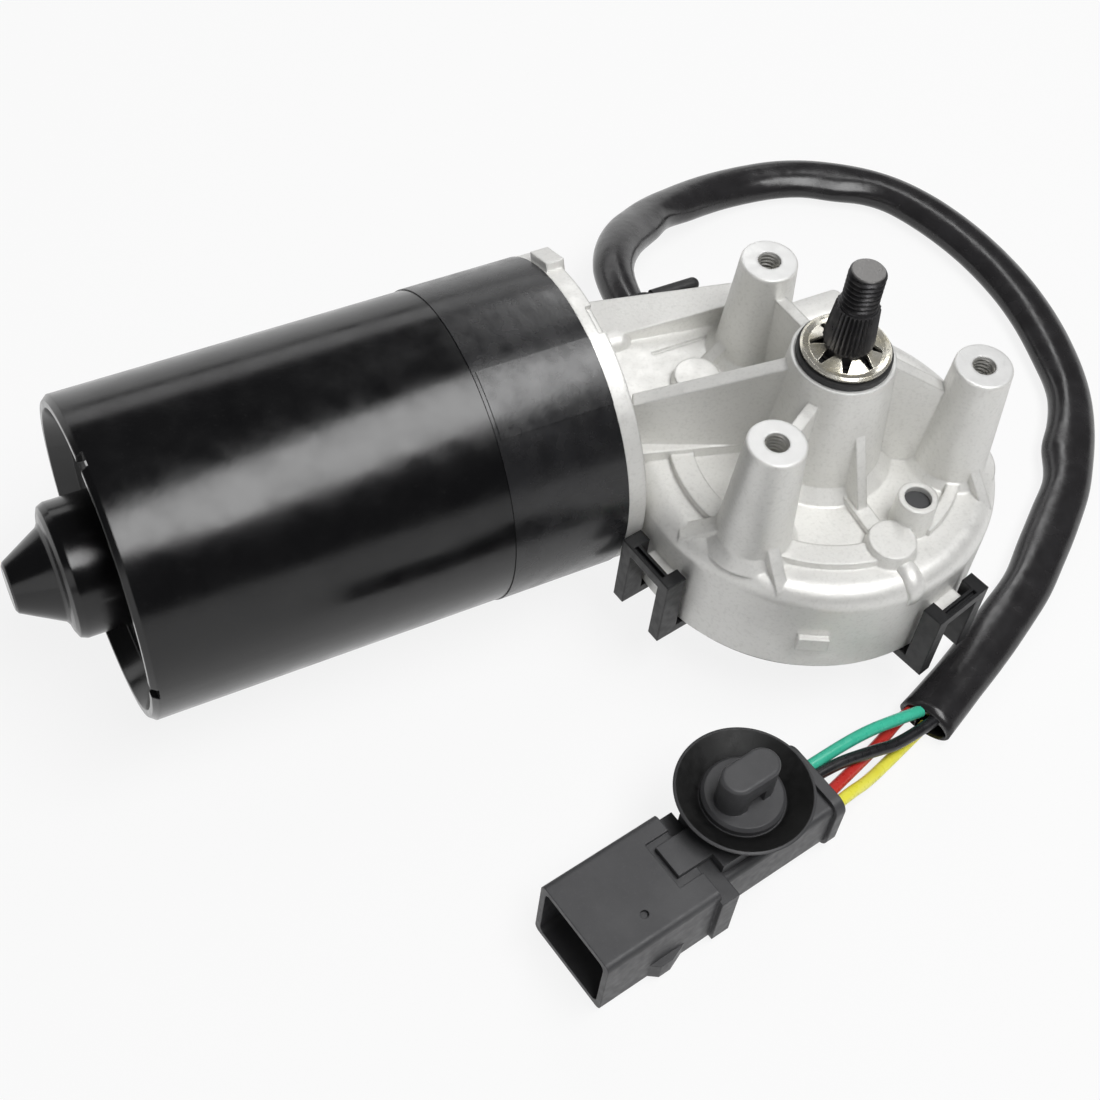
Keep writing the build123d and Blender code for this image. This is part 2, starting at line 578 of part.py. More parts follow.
# Gear cover with its snap-on clips, seal and park switch contacts
cover = ring(H_UNDER, H_PLATE, PAN_R - 2, COVER_R)
cover += ring(H_PLATE, H_HOUSE_LOW + 2.5, HOUSE_IN_R - 2.6, HOUSE_IN_R - 0.1)
pan = upright(0, 0, H_FLOOR, H_PLATE, PAN_R - 1.5, PAN_R)
pan = fillet(pan.edges().filter_by(GeomType.CIRCLE).sort_by(Axis.Z)[0], 1.5)
cover += pan
cover -= upright(0, 0, H_FLOOR + 2.2, H_PLATE + 1, PAN_R - 3.5, PAN_R - 2)
for angle, high in CLIPS:
    top = AXIS_Z + high
    low = AXIS_Z + H_UNDER
    loop = Pos(HOUSE_R + 4.6, 0, top - CLIP_BAR) * Box(2.4, 2 * CLIP_HALF, CLIP_BAR, align=BASE)
    loop -= Pos(HOUSE_R + 4.6, 0, top - 1.0) * Box(0.9, 2 * CLIP_HALF - 4, 2, align=BASE)
    for side in (-1, 1):
        shift = side * (CLIP_HALF - CLIP_LEG / 2)
        loop += Pos(HOUSE_R + 3.3, shift, low) * Box(5.0, CLIP_LEG, top - low, align=BASE)
        loop += Pos(HOUSE_R - 1.2, shift, low) * Box(9, CLIP_LEG, COVER_THICK, align=BASE)
    cover += Rot(0, 0, angle) * loop
nodes["gear_cover"] = cover
nodes["cover_seal"] = ring(H_PLATE, H_HOUSE_LOW, HOUSE_IN_R + 0.1, COVER_R)

carrier = ring(H_PLATE, H_CARRY, 8.0, HOUSE_IN_R - 2.7)
nodes["contact_carrier"] = carrier
fingers = []
for angle, reach in ((80, 12.0), (120, 14.5), (160, 17.0)):
    strip = Plane.XZ * Polygon(
        (HOUSE_IN_R - 6.3, H_CARRY),
        (HOUSE_IN_R - 6.3, H_CARRY + 0.6),
        (HOUSE_IN_R - 11.0, H_CARRY + 0.6),
        (reach + 1, H_DISC - 0.6),
        (reach - 1, H_DISC - 0.2),
        (reach - 1, H_DISC - 0.8),
        (reach + 0.7, H_DISC - 1.2),
        (HOUSE_IN_R - 11.3, H_CARRY),
        align=None,
    )
    fingers.append(Pos(0, 0, AXIS_Z) * Rot(0, 0, angle) * extrude(strip, 1.5, both=True))
nodes["contact_springs"] = Compound(children=fingers)

# Cable grommet with its pull tail
grommet = cable_at * Pos(0, 0, 11) * Cylinder(7.0, 10, align=BASE)
grommet += cable_at * Pos(0, 0, 21) * Cylinder(7.6, 2.4, align=BASE)
grommet -= cable_at * Pos(0, 0, 10) * Cylinder(SLEEVE_R, 14, align=BASE)
tail = Cylinder(TAIL_R, TAIL_LENGTH, align=BASE) + Pos(0, 0, TAIL_LENGTH) * Sphere(TAIL_R)
grommet += cable_at * Pos(-5.2, 4.0, 24.0) * Rot(0, -90, 0) * tail
nodes["cable_grommet"] = grommet

# Harness sleeve, wires and connector
route = [(x, y, AXIS_Z + h) for x, y, h in ROUTE]
nodes["harness_sleeve"] = cord(route, SLEEVE_R, "harness_sleeve")

CONN = Pos(CONN_AT[0], CONN_AT[1], AXIS_Z + H_FLOOR) * Rot(0, 0, CONN_YAW)
mouth = Vector(*route[-1])
heading = (mouth - Vector(*route[-2])).normalized()
across = Vector(0, 0, 1).cross(heading)
WIRES = {
    "wire_green": ((-1.5, 1.5), (-12.0, -56.0, -24.6), 4.8),
    "wire_black": ((1.5, 1.5), (-12.0, -59.3, -24.8), 1.6),
    "wire_red": ((-1.5, -1.5), (-10.5, -60.8, -31.4), -2.6),
    "wire_yellow": ((1.5, -1.5), (-12.0, -65.0, -29.4), -5.8),
}
for name, (offset, middle, row) in WIRES.items():
    first = mouth + across * offset[0] + Vector(0, 0, offset[1])
    lead_out = first + heading * 7
    bend = Vector(middle[0], middle[1], AXIS_Z + middle[2])
    last = (CONN * Pos(COLLAR_END, row, WIRE_ROW_Z)).position
    before = (CONN * Pos(COLLAR_END + 7, row, WIRE_ROW_Z)).position
    nodes[name] = cord([first, lead_out, bend, before, last], WIRE_R, name)


def conn_box(x0, x1, y0, y1, z0, z1):
    body = Box(x1 - x0, y1 - y0, z1 - z0, align=(Align.MIN, Align.MIN, Align.MIN))
    return Pos(x0, y0, z0) * body


half = BOX_WIDTH / 2
rear_top = BOX_HEIGHT - 3.0
shell = fillet(conn_box(0, BOX_LENGTH, -half, half, 0, BOX_HEIGHT).edges().filter_by(Axis.X), 1.5)
shell += conn_box(BOX_LENGTH - 0.5, BOX_LENGTH + 4, -half - 1.2, half - 1, 1.5, BOX_HEIGHT - 2)
rear = conn_box(BOX_LENGTH + 3, REAR_END, -8.5, 8.5, 2, rear_top)
shell += fillet(rear.edges().filter_by(Axis.X), 1.5)
cavity = conn_box(-1, CAVITY_DEPTH, BOX_WALL - half, half - BOX_WALL, BOX_WALL, BOX_HEIGHT - BOX_WALL)
shell -= fillet(cavity.edges().filter_by(Axis.X), 1.5)
wedge_plan = [(11.5, 0.5 - half), (14.0, -1.6 - half), (17.0, -1.6 - half), (22.4, 0.5 - half)]
shell += Pos(0, 0, 1.5) * extrude(Polygon(*wedge_plan, align=None), 5)
shell -= Pos(13.3, -5.5, BOX_HEIGHT - 0.8) * Cylinder(0.9, 2, align=BASE)
shell -= conn_box(22.8, BOX_LENGTH + 1, -5.0, 6.6, BOX_HEIGHT - 0.8, BOX_HEIGHT + 1)
pins = []
for y in (-4.5, 4.5):
    for z in (0.37 * BOX_HEIGHT, 0.65 * BOX_HEIGHT):
        pin = conn_box(8, CAVITY_DEPTH + 5, y - 1.4, y + 1.4, z - 0.4, z + 0.4)
        shell -= pin
        pins.append(CONN * pin)
nodes["connector_shell"] = CONN * shell
nodes["connector_terminals"] = Compound(children=pins)
collar = conn_box(REAR_END, COLLAR_END, -9.5, 9.5, 1, rear_top + 1.2)
collar = fillet(collar.edges().filter_by(Axis.X), 3.0)
nodes["connector_collar"] = CONN * collar

# Panel clip on the connector's back: rail foot, dished disc and oblong key
disc_low = BOX_HEIGHT + 0.6
foot = conn_box(BOX_LENGTH + 4, REAR_END - 6, -6.5, 8.0, rear_top, disc_low)
foot += conn_box(24, BOX_LENGTH + 5, -3.0, 4.7, BOX_HEIGHT - 0.8, disc_low)
dish_outline = [
    (0, 0),
    (9, 0),
    (DISC_R - 0.5, 4.0),
    (DISC_R, 4.7),
    (DISC_R - 0.6, 5.0),
    (9.2, 1.5),
    (0, 1.5),
]
plug = turned([(0, 0), (9.0, 0), (9.0, 2.8), (8.3, 3.6), (0, 3.6)])
key = extrude(SlotOverall(14.0, 7.4), 12.0)
key = fillet(key.edges().group_by(Axis.Z)[-1], 0.8)
key -= Pos(0, -3.7, 2.6) * Box(4.4, 2.4, 4.0, align=BASE)
clip = foot + Pos(DISC_AT, DISC_SIDE, disc_low) * (turned(dish_outline) + plug + Pos(0, 0, 1) * key)
nodes["panel_clip"] = CONN * clip

os.makedirs("parts", exist_ok=True)
for name, shape in nodes.items():
    export_step(shape, f"parts/{name}.step")
    print(name, len(shape.solids()), "solids", round(shape.volume / 1000, 2), "cm3")
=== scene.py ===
import json
import math

import bpy
from mathutils import Matrix, Vector


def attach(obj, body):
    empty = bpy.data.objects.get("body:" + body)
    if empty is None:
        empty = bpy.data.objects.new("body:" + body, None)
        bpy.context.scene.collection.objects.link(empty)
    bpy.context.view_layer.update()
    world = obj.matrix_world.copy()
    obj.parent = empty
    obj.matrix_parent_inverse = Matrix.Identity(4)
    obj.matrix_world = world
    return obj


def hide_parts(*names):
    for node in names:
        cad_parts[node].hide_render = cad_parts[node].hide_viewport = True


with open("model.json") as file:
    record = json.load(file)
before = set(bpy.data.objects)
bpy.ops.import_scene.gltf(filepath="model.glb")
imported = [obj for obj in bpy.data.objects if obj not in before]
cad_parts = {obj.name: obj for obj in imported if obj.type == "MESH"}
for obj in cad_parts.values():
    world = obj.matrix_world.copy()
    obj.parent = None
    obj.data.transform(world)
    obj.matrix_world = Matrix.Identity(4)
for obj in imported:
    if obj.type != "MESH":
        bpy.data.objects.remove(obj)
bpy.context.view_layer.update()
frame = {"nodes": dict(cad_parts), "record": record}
scene = bpy.context.scene
nodes = frame["nodes"]

# Sizes in millimetres, as in the part's source
MM = 0.001
AXIS_Z = -52.3
FLOOR = -88.55
LIE = -83.55
POSTS = [(30.0, 211.5), (30.0, 91.5), (30.0, -28.5)]
POST_TOP = -15.15

# Camera, solved from the photograph
CAMERA_AT = (-193.97, -202.65, 271.06)
CAMERA_AZIMUTH = 32.234
CAMERA_DOWN = 53.254
CAMERA_ROLL = 7.509
FOCAL_SHARE = 1869.5 / 1100
SENSOR = 36

# Line of the sleeve, from the grommet to its mouth
ROUTE = [
    (-14.0, 48.9, -56.6),
    (-14.0, 70.0, -56.6),
    (-3.0, 88.8, -62.8),
    (17.8, 105.3, -74.4),
    (45.4, 116.4, LIE),
    (72.4, 112.5, LIE),
    (93.4, 96.0, LIE),
    (102.7, 69.4, LIE),
    (103.1, 39.0, LIE),
    (93.0, 9.1, LIE),
    (71.4, -15.8, LIE),
    (43.4, -35.4, LIE),
    (24.1, -45.9, LIE),
    (4.8, -54.6, LIE),
]

# Connector: its place and turn, where its collar ends, and the height of its row of wires
CONN_AT = (-94.9, -73.0)
CONN_YAW = 9.95
COLLAR_END = 65.0
WIRE_ROW = FLOOR + 10.5
WIRE_R = 1.4

# Each wire: its place in the sleeve's mouth, its bends, and its place in the connector's row
WIRES = {
    "wire_green": ((-1.8, 1.6), [(-4.2, -53.4, -80.2), (-12.4, -54.1, -78.4), (-22.6, -55.6, -77.9)], 4.6),
    "wire_black": ((1.8, 1.4), [(-5.3, -58.6, -81.4), (-12.2, -58.4, -79.8), (-24.2, -58.4, -78.1)], 2.0),
    "wire_red": ((-3.8, -0.8), [(0.0, -51.6, -84.2), (-7.8, -55.3, -84.3), (-19.5, -60.3, -81.2)], -3.2),
    "wire_yellow": ((0.4, -2.0), [(-8.3, -59.8, -85.6), (-17.2, -63.5, -82.5), (-23.5, -65.6, -79.0)], -5.9),
}

# Gearbox: chamber, the rounding of its shoulder, the rib on it, the vent and the top of the shaft
HOUSE_R = 41.6
HOUSE_TOP = AXIS_Z + 6.1
SHOULDER_R = 4.65
RIB_ANGLE = -88.6
VENT = (8.5, -25.9)
PLUG_TOP = AXIS_Z + 12.9
SHAFT_TOP = 9.6

# Painted shade in the dish of the panel clip: its axis, the height it starts at, and the radii where the
# painted shade starts and ends
CLIP_DISH_SHADE = (-50.54, -61.97, FLOOR + 20.6)
DISH_SHADE_START = (9.1, 9.5)
DISH_SHADE_END = (14.3, 14.5)

# Creases of the sleeve: how far along it, how long, inward and outward change of its half width
CREASES = [
    (74, 8, -1.5, 0.4),
    (137, 7, 1.0, -0.2),
    (152, 9, -0.9, 0.2),
    (238, 10, -1.2, 0.2),
    (258, 6, 1.0, 0.0),
    (270, 7, -0.8, 0.3),
    (304, 9, -1.0, 0.5),
]

# Middle of the object, which the lamps look at
MIDDLE = (-20, 0, -50)


def link(obj):
    scene.collection.objects.link(obj)
    return obj


def mesh_piece(name, verts, faces, material, body):
    """New mesh piece from points in millimetres that rides on a body."""
    mesh = bpy.data.meshes.new(name)
    mesh.from_pydata([Vector(v) * MM for v in verts], [], faces)
    mesh.polygons.foreach_set("use_smooth", [True] * len(mesh.polygons))
    mesh.materials.append(bpy.data.materials[material])
    obj = link(bpy.data.objects.new(name, mesh))
    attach(obj, body)
    return obj


def grid_faces(rows, around):
    """Quads between rings of points that close on themselves."""
    faces = []
    for i in range(rows - 1):
        for j in range(around):
            k = (j + 1) % around
            a = i * around
            faces.append((a + j, a + k, a + around + k, a + around + j))
    return faces


def closed_faces(rows, around):
    """Quads between rings, with a cap on the first and on the last ring."""
    faces = grid_faces(rows, around)
    faces.append(tuple(range(around))[::-1])
    faces.append(tuple(range((rows - 1) * around, rows * around)))
    return faces


# Camera
def place_camera():
    az, el, roll = (math.radians(a) for a in (CAMERA_AZIMUTH, CAMERA_DOWN, CAMERA_ROLL))
    look = Vector((math.sin(az) * math.cos(el), math.cos(az) * math.cos(el), -math.sin(el)))
    right = Vector((math.cos(az), -math.sin(az), 0))
    up = right.cross(look)
    across = right * math.cos(roll) + up * math.sin(roll)
    up = up * math.cos(roll) - right * math.sin(roll)
    camera = link(bpy.data.objects.new("camera", bpy.data.cameras.new("camera")))
    turn = Matrix((across, up, -look)).transposed().to_4x4()
    camera.matrix_world = Matrix.Translation(Vector(CAMERA_AT) * MM) @ turn
    camera.data.lens = SENSOR * FOCAL_SHARE
    scene.camera = camera


place_camera()


# Materials
class Paint:
    """Principled material with helpers that add noise-driven colour, roughness and bump."""

    def __init__(self, name, colour, rough, metal=0.0, edge=0.0):
        mat = bpy.data.materials.get(name) or bpy.data.materials.new(name)
        mat.use_nodes = True
        self.tree = mat.node_tree
        self.bsdf = self.tree.nodes["Principled BSDF"]
        self.bsdf.inputs["Metallic"].default_value = metal
        self.colour = colour
        self.rough = rough
        self.coords = self.add("ShaderNodeTexCoord").outputs["Object"]
        self.normal = None
        self.tint = None
        if edge:
            bevel = self.add("ShaderNodeBevel", samples=4)
            bevel.inputs["Radius"].default_value = edge * MM
            self.normal = bevel.outputs["Normal"]

    def add(self, kind, **settings):
        node = self.tree.nodes.new(kind)
        for key, value in settings.items():
            setattr(node, key, value)
        return node

    def join(self, a, b):
        self.tree.links.new(a, b)

    def scaled(self, factors):
        stretch = self.add("ShaderNodeMapping")
        stretch.inputs["Scale"].default_value = factors
        self.join(self.coords, stretch.inputs["Vector"])
        return stretch.outputs["Vector"]

    def noise(self, size, detail, stretch=None):
        """Noise whose features are about size millimetres wide."""
        node = self.add("ShaderNodeTexNoise")
        node.inputs["Scale"].default_value = 1 / (size * MM)
        node.inputs["Detail"].default_value = detail
        self.join(self.scaled(stretch) if stretch else self.coords, node.inputs["Vector"])
        return node.outputs["Fac"]

    def ramp(self, value, low, high, out_low=0.0, out_high=1.0):
        node = self.add("ShaderNodeMapRange")
        ends = {"From Min": low, "From Max": high, "To Min": out_low, "To Max": out_high}
        for key, number in ends.items():
            node.inputs[key].default_value = number
        self.join(value, node.inputs["Value"])
        return node.outputs["Result"]

    def both(self, a, b):
        """Product of two masks."""
        node = self.add("ShaderNodeMath", operation="MULTIPLY")
        self.join(a, node.inputs[0])
        self.join(b, node.inputs[1])
        return node.outputs["Value"]

    def height(self):
        node = self.add("ShaderNodeSeparateXYZ")
        self.join(self.coords, node.inputs["Vector"])
        return node.outputs["Z"]

    def reach(self, x, y):
        """Distance from an upright axis."""
        shift = self.add("ShaderNodeMapping")
        shift.inputs["Location"].default_value = (-x * MM, -y * MM, 0)
        shift.inputs["Scale"].default_value = (1, 1, 0)
        self.join(self.coords, shift.inputs["Vector"])
        far = self.add("ShaderNodeVectorMath", operation="LENGTH")
        self.join(shift.outputs["Vector"], far.inputs[0])
        return far.outputs["Value"]

    def facing(self):
        """How far a face looks up, from -1 to 1."""
        split = self.add("ShaderNodeSeparateXYZ")
        self.join(self.add("ShaderNodeNewGeometry").outputs["Normal"], split.inputs["Vector"])
        return split.outputs["Z"]

    def blend(self, mask, colour):
        """Mixes another colour over the base by a mask."""
        node = self.add("ShaderNodeMix", data_type="RGBA")
        if self.tint is None:
            node.inputs["A"].default_value = (*self.colour, 1)
        else:
            self.join(self.tint, node.inputs["A"])
        node.inputs["B"].default_value = (*colour, 1)
        self.join(mask, node.inputs["Factor"])
        self.tint = node.outputs["Result"]

    def bump(self, value, depth, strength=1.0):
        node = self.add("ShaderNodeBump")
        node.inputs["Strength"].default_value = strength
        node.inputs["Distance"].default_value = depth * MM
        self.join(value, node.inputs["Height"])
        if self.normal is not None:
            self.join(self.normal, node.inputs["Normal"])
        self.normal = node.outputs["Normal"]

    def roughen(self, value, spread):
        rough = self.ramp(value, 0.3, 0.7, self.rough - spread, self.rough + spread)
        self.join(rough, self.bsdf.inputs["Roughness"])

    def done(self):
        self.join(self.tint, self.bsdf.inputs["Base Color"])
        self.join(self.normal, self.bsdf.inputs["Normal"])


def black_paint():
    p = Paint("black_paint", (0.0035, 0.0035, 0.004), 0.2, edge=0.5)
    p.blend(p.ramp(p.noise(22, 4), 0.45, 0.8, 0.0, 0.55), (0.007, 0.007, 0.0075))
    p.blend(p.ramp(p.noise(0.7, 2), 0.64, 0.75, 0.0, 0.4), (0.02, 0.02, 0.02))
    p.roughen(p.noise(6, 4), 0.05)
    p.bump(p.noise(1.6, 3), 0.008)
    p.bump(p.noise(24, 2), 0.2)
    p.done()


def wrap_film():
    p = Paint("wrap_film", (0.012, 0.012, 0.013), 0.25)
    p.blend(p.ramp(p.noise(9, 4), 0.4, 0.75, 0.0, 0.7), (0.022, 0.022, 0.024))
    p.roughen(p.noise(4, 3), 0.06)
    p.bump(p.noise(6.0, 2, (1.0, 0.35, 0.35)), 0.05)
    p.bump(p.noise(0.8, 2), 0.012)
    p.done()


def cast_aluminium():
    p = Paint("cast_aluminium", (0.82, 0.815, 0.79), 0.45, 0.4, edge=0.8)
    p.blend(p.ramp(p.noise(26, 5), 0.42, 0.72, 0.0, 0.6), (0.72, 0.715, 0.69))
    p.blend(p.ramp(p.noise(0.8, 3), 0.5, 0.75, 0.0, 0.3), (0.55, 0.545, 0.52))
    cut = p.ramp(p.height(), (POST_TOP - 0.25) * MM, (POST_TOP - 0.15) * MM)
    flat = p.both(cut, p.ramp(p.facing(), 0.9, 0.98))
    p.blend(flat, (0.8, 0.8, 0.79))
    p.roughen(p.noise(3, 4), 0.09)
    p.bump(p.noise(0.7, 3), 0.05, 0.8)
    p.done()


def black_steel():
    p = Paint("black_steel", (0.035, 0.034, 0.036), 0.36, 0.6)
    p.blend(p.ramp(p.noise(2.5, 4), 0.5, 0.75, 0.0, 0.6), (0.085, 0.082, 0.08))
    top = p.ramp(p.height(), (SHAFT_TOP - 0.3) * MM, (SHAFT_TOP - 0.1) * MM)
    p.blend(top, (0.24, 0.235, 0.23))
    p.roughen(p.noise(1.2, 3), 0.1)
    p.bump(p.noise(0.5, 2), 0.02)
    p.done()


def bright_steel():
    p = Paint("bright_steel", (0.88, 0.85, 0.76), 0.24, 0.75, edge=0.25)
    p.blend(p.ramp(p.noise(4.0, 2), 0.45, 0.7, 0.0, 0.7), (0.72, 0.66, 0.48))
    p.roughen(p.noise(1.5, 3), 0.07)
    p.bump(p.noise(0.8, 2), 0.004)
    p.done()


def rubber():
    p = Paint("rubber", (0.014, 0.014, 0.015), 0.55, edge=0.3)
    p.blend(p.ramp(p.noise(3, 3), 0.45, 0.75, 0.0, 0.6), (0.03, 0.03, 0.03))
    p.roughen(p.noise(1.5, 3), 0.1)
    p.bump(p.noise(0.6, 2), 0.03)
    p.done()


def moulded(name, colour, pale, rough, edge, shine=0.5, dish_shade=None):
    """Plastic with a fine moulded grain and, if asked for, painted shade that darkens the ring of its dish.
    """
    p = Paint(name, colour, rough, edge=edge)
    p.bsdf.inputs["Specular IOR Level"].default_value = shine
    p.blend(p.ramp(p.noise(12, 4), 0.4, 0.75, 0.0, 0.7), pale)
    p.blend(p.ramp(p.noise(0.5, 2), 0.58, 0.7, 0.0, 0.35), pale)
    if dish_shade:
        # Painted shade: the sloping ring of the dish, between its start and end radii and above its start
        # height, is painted near black
        x, y, z = dish_shade
        far = p.reach(x, y)
        past_start = p.ramp(far, DISH_SHADE_START[0] * MM, DISH_SHADE_START[1] * MM)
        before_end = p.ramp(far, DISH_SHADE_END[0] * MM, DISH_SHADE_END[1] * MM, 1.0, 0.0)
        dish_shade_mask = p.both(past_start, before_end)
        above = p.ramp(p.height(), (z - 0.2) * MM, z * MM)
        p.blend(p.both(dish_shade_mask, above), (0.004, 0.004, 0.004))
    p.roughen(p.noise(2, 3), 0.08)
    p.bump(p.noise(0.45, 2), 0.025, 0.7)
    p.done()


def sleeve_vinyl():
    p = Paint("sleeve_vinyl", (0.02, 0.019, 0.02), 0.24)
    p.blend(p.ramp(p.noise(8, 4), 0.45, 0.75, 0.0, 0.6), (0.034, 0.033, 0.035))
    p.roughen(p.noise(5, 4), 0.07)
    p.bump(p.noise(9, 2), 0.3, 0.6)
    p.bump(p.noise(1.4, 2), 0.02)
    p.done()


def wire(name, colour, shade):
    p = Paint(name, colour, 0.3)
    p.blend(p.ramp(p.noise(4, 3), 0.4, 0.75, 0.0, 0.8), shade)
    p.roughen(p.noise(1.5, 2), 0.06)
    p.bump(p.noise(1.2, 2), 0.03, 0.6)
    p.done()


def inner(name, colour, rough, metal):
    """Plain finish of the pieces inside the motor and of the threads in the posts."""
    p = Paint(name, colour, rough, metal)
    p.blend(p.ramp(p.noise(3, 4), 0.4, 0.75, 0.0, 0.6), [c * 0.7 for c in colour])
    p.roughen(p.noise(1.5, 3), 0.08)
    p.bump(p.noise(0.8, 2), 0.02)
    p.done()


black_paint()
wrap_film()
cast_aluminium()
black_steel()
bright_steel()
rubber()
moulded("black_plastic", (0.008, 0.008, 0.009), (0.015, 0.015, 0.016), 0.4, 0.6, 0.35)
moulded("connector_plastic", (0.052, 0.052, 0.055), (0.075, 0.075, 0.078), 0.48, 0.4, dish_shade=CLIP_DISH_SHADE)
sleeve_vinyl()
wire("wire_green", (0.055, 0.56, 0.37), (0.08, 0.64, 0.44))
wire("wire_black", (0.014, 0.014, 0.016), (0.03, 0.03, 0.032))
wire("wire_red", (0.56, 0.032, 0.026), (0.64, 0.05, 0.04))
wire("wire_yellow", (0.92, 0.86, 0.075), (0.95, 0.92, 0.12))
inner("bare_steel", (0.7, 0.69, 0.66), 0.38, 0.85)
inner("ferrite", (0.06, 0.06, 0.065), 0.7, 0.0)
inner("copper", (0.72, 0.36, 0.18), 0.35, 1.0)
inner("bronze", (0.55, 0.42, 0.22), 0.45, 1.0)
inner("carbon", (0.05, 0.05, 0.05), 0.6, 0.0)
inner("gear_plastic", (0.85, 0.83, 0.76), 0.45, 0.0)
inner("card", (0.35, 0.22, 0.12), 0.7, 0.0)
for row in frame["record"]["subparts"]:
    slots = nodes[row["node"]].data.materials
    slots.clear()
    slots.append(bpy.data.materials[row["material_slot"]])


# Sleeve and wires
def nurbs(name, points):
    """Curve object with one smooth open spline that follows control points."""
    curve = bpy.data.curves.new(name, "CURVE")
    curve.dimensions = "3D"
    spline = curve.splines.new("NURBS")
    spline.points.add(len(points) - 1)
    for spot, p in zip(spline.points, points):
        spot.co = (*(Vector(p) * MM), 1)
    spline.order_u = 3
    spline.use_endpoint_u = True
    spline.resolution_u = 16
    return link(bpy.data.objects.new(name, curve))


def sleeve():
    """Loose vinyl sleeve: a flattened tube that turns inward at its open mouth."""
    curve = nurbs("sleeve_line", ROUTE)
    line = bpy.data.meshes.new_from_object(curve)
    points = [v.co / MM for v in line.vertices]
    bpy.data.objects.remove(curve)
    around, lip_rings = 32, 8
    tube_r, widen, sink = 4.3, 1.9, 0.2
    flat_from, flat_over = 10, 45
    route_height, settle_over = 5.0, 70
    mouth_over, flare = 14, 0.4
    lip_wide, lip_high, lip_taper = 5.8, 3.4, 0.05
    run = [0.0]
    for a, b in zip(points, points[1:]):
        run.append(run[-1] + (b - a).length)
    verts, path = [], []

    def ring(i, wide, high):
        ahead = points[min(i + 1, len(points) - 1)] - points[max(i - 1, 0)]
        side = ahead.cross(Vector((0, 0, 1))).normalized()
        over = side.cross(ahead).normalized()
        centre = points[i] + Vector((0, 0, high - route_height)) * min(1.0, run[i] / settle_over)
        inward = outward = wide
        for at, length, inner_change, outer_change in CREASES:
            near = math.exp(-(((run[i] - at) / length) ** 2))
            inward += inner_change * near
            outward += outer_change * near
        for j in range(around):
            t = 2 * math.pi * j / around
            reach = inward if math.cos(t) > 0 else outward
            verts.append(centre + side * (reach * math.cos(t)) + over * (high * math.sin(t)))
        return centre

    total = run[-1]
    for i in range(len(points)):
        flat = min(1.0, max(0.0, (run[i] - flat_from) / flat_over))
        wide = tube_r + widen * flat
        high = tube_r - sink * flat
        mouth = max(0.0, 1 - (total - run[i]) / mouth_over)
        path.append(ring(i, wide + flare * mouth, high))
    for k in range(1, lip_rings + 1):
        ring(len(points) - k, lip_wide - lip_taper * k, lip_high - lip_taper * k)
    faces = closed_faces(len(points) + lip_rings, around)
    tube = mesh_piece("sleeve", verts, faces, "sleeve_vinyl", "housing")
    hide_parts("harness_sleeve")
    return tube, path, total


def wires():
    """Four wires from the sleeve's mouth into the connector's collar."""
    mouth = Vector(ROUTE[-1])
    heading = (mouth - Vector(ROUTE[-2])).normalized()
    across = Vector((0, 0, 1)).cross(heading)
    turn = Matrix.Rotation(math.radians(CONN_YAW), 3, "Z")
    found = []
    for name, (offset, bends, row) in WIRES.items():
        first = mouth + across * offset[0] + Vector((0, 0, offset[1]))
        end = turn @ Vector((COLLAR_END, row, 0))
        end = Vector((CONN_AT[0] + end.x, CONN_AT[1] + end.y, WIRE_ROW))
        points = [first, *bends, end]
        piece = nurbs(name + "_lead", points)
        piece.data.bevel_depth = WIRE_R * MM
        piece.data.bevel_resolution = 6
        piece.data.use_fill_caps = True
        piece.data.materials.append(bpy.data.materials[name])
        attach(piece, "housing")
        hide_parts(name)
        found.append((piece, points))
    return found


sleeve_tube, sleeve_path, sleeve_length = sleeve()
leads = wires()


# Output shaft with its thread and knurl
def shaft():
    around = 240
    foot, seat, neck, knurl_low = -60.6, -50.6, -13.4, -10.6
    foot_r, journal_r, neck_r = 5.0, 5.75, 4.95
    knurl_low_r, knurl_high_r, teeth, knurl_depth = 5.65, 4.7, 30, 0.55
    knurl_end, end_drop, knurl_step = 0.5, 0.35, 0.12
    thread_r, pitch, thread_depth, thread_step = 4.0, 1.25, 0.62, 0.08
    steepness, root_flat, run_in, chamfer = 1.25, 0.12, 0.8, 0.7
    just_below, sharp_from = 0.001, 32

    def radius(z, t):
        if z < seat:
            return foot_r
        if z < neck:
            return journal_r
        if z < knurl_low:
            return neck_r
        if z < 0:
            share = (z - knurl_low) / -knurl_low
            outer = knurl_low_r + (knurl_high_r - knurl_low_r) * share
            wave = abs((t * teeth / (2 * math.pi)) % 1.0 - 0.5) * 2
            full = max(0.0, min(1.0, (z - knurl_low) / knurl_end, -z / knurl_end))
            return outer - knurl_depth * (1 - wave) * full - end_drop * (1 - full)
        wave = abs((z / pitch - t / (2 * math.pi)) % 1.0 - 0.5) * 2
        wave = min(1.0, max(0.0, steepness * wave - root_flat))
        fade = min(1.0, z / run_in)
        tip = max(0.0, z - (SHAFT_TOP - chamfer))
        return min(thread_r - thread_depth * (1 - wave) * fade, thread_r - tip)

    levels = [foot, seat - just_below, seat, neck - 0.3, neck - just_below, neck, knurl_low - just_below]
    levels += [knurl_low + knurl_step * k for k in range(int(-knurl_low / knurl_step) + 1)]
    levels += [thread_step * k for k in range(int(SHAFT_TOP / thread_step) + 1)]
    verts = []
    for z in levels:
        for j in range(around):
            t = 2 * math.pi * j / around
            r = radius(z, t)
            verts.append((r * math.cos(t), r * math.sin(t), z))
    faces = closed_faces(len(levels), around)
    piece = mesh_piece("threaded_shaft", verts, faces, "black_steel", "output")
    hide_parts("output_shaft")
    split = piece.modifiers.new("edges", "EDGE_SPLIT")
    split.split_angle = math.radians(sharp_from)


shaft()


